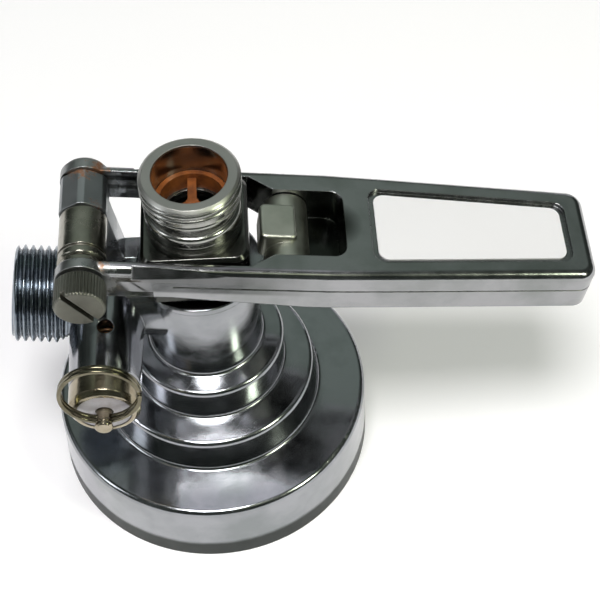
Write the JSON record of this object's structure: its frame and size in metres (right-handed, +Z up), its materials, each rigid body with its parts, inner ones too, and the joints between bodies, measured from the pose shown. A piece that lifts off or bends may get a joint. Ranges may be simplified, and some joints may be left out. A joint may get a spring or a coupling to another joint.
{
  "type": "keg coupler",
  "caption": "Lever keg coupler: stepped bell on a tower, sliding probe with threaded outlet, side gas inlet, relief valve with a split pull ring, windowed handle with thumb latch.",
  "frame": {"origin": "centre of the bell's open rim, in the plane that meets the keg", "axes": "+Z up along the probe to the beer outlet, +X towards the handle's tip, -Y towards the relief valve's pull pin"},
  "size_m": [0.1361, 0.0804, 0.0991],
  "materials": {
    "chrome_casting": "polished",
    "chrome_lever": "polished, slightly pitted",
    "dark_chrome": "polished",
    "outlet_steel": "turned",
    "warm_nickel": "nickel plated, worn",
    "worn_nickel": "worn",
    "dull_screw": "dull, knurled",
    "rusty_steel": "rust stained",
    "plain_steel": "plain",
    "copper_wire": "bright wire",
    "amber_plastic": "moulded",
    "white_plastic": "moulded",
    "black_rubber": "moulded",
    "valve_rubber": "moulded",
    "disc_paint": "bare",
    "label_white": "bare"
  },
  "bodies": {
    "coupler": {"coupler_body": "chrome_casting", "tower_bush": "white_plastic", "tower_o_ring": "black_rubber", "bush_retainer": "plain_steel", "keg_seal": "black_rubber", "gas_inlet_nipple": "dark_chrome", "gas_check_valve": "valve_rubber", "gas_inlet_washer": "black_rubber", "relief_cap": "warm_nickel", "relief_disc": "disc_paint", "relief_spring": "copper_wire", "hinge_sleeve": "worn_nickel"},
    "relief_plunger": {"relief_pull_pin": "warm_nickel", "relief_poppet": "warm_nickel", "relief_seal": "black_rubber", "relief_pull_ring": "warm_nickel"},
    "probe_group": {"probe": "outlet_steel", "probe_seal": "black_rubber", "outlet_insert": "amber_plastic"},
    "ball": {"check_ball": "plain_steel"},
    "handle": {"lever": "chrome_lever", "label_plate": "label_white", "lever_pins": "chrome_lever", "hinge_screw": "dull_screw", "hinge_front_washer": "worn_nickel", "hinge_rear_washer": "rusty_steel", "latch_pin": "plain_steel"},
    "latch": {"thumb_latch": "worn_nickel", "latch_spring": "plain_steel"}
  },
  "joints": [
    {"name": "lever_pivot", "type": "hinge", "parent": "coupler", "child": "handle", "pos_m": [-0.02487, 0, 0.08297], "axis": [0, -1, 0], "range_deg": [0, 21]},
    {"name": "probe_slide", "type": "slide", "parent": "coupler", "child": "probe_group", "axis": [0, 0, 1], "range_m": [0, 0.00916]},
    {"name": "ball_lift", "type": "slide", "parent": "probe_group", "child": "ball", "axis": [0, 0, 1], "range_m": [0, 0.0018]},
    {"name": "relief_pull", "type": "slide", "parent": "coupler", "child": "relief_plunger", "axis": [0, -1, 0], "range_m": [0, 0.0025], "stiffness_N_per_m": 2000, "springref_m": -0.006, "deforming": ["relief_spring"]},
    {"name": "latch_tilt", "type": "hinge", "parent": "handle", "child": "latch", "pos_m": [0.02033, 0, 0.07543], "axis": [0, -1, 0], "range_deg": [0, 14], "stiffness_Nm_per_rad": 0.05, "springref_deg": -17.19, "deforming": ["latch_spring"]}
  ],
  "couplings": [
    {"joint": "probe_slide", "follows": "lever_pivot", "m_per_rad": 0.02492}
  ]
}
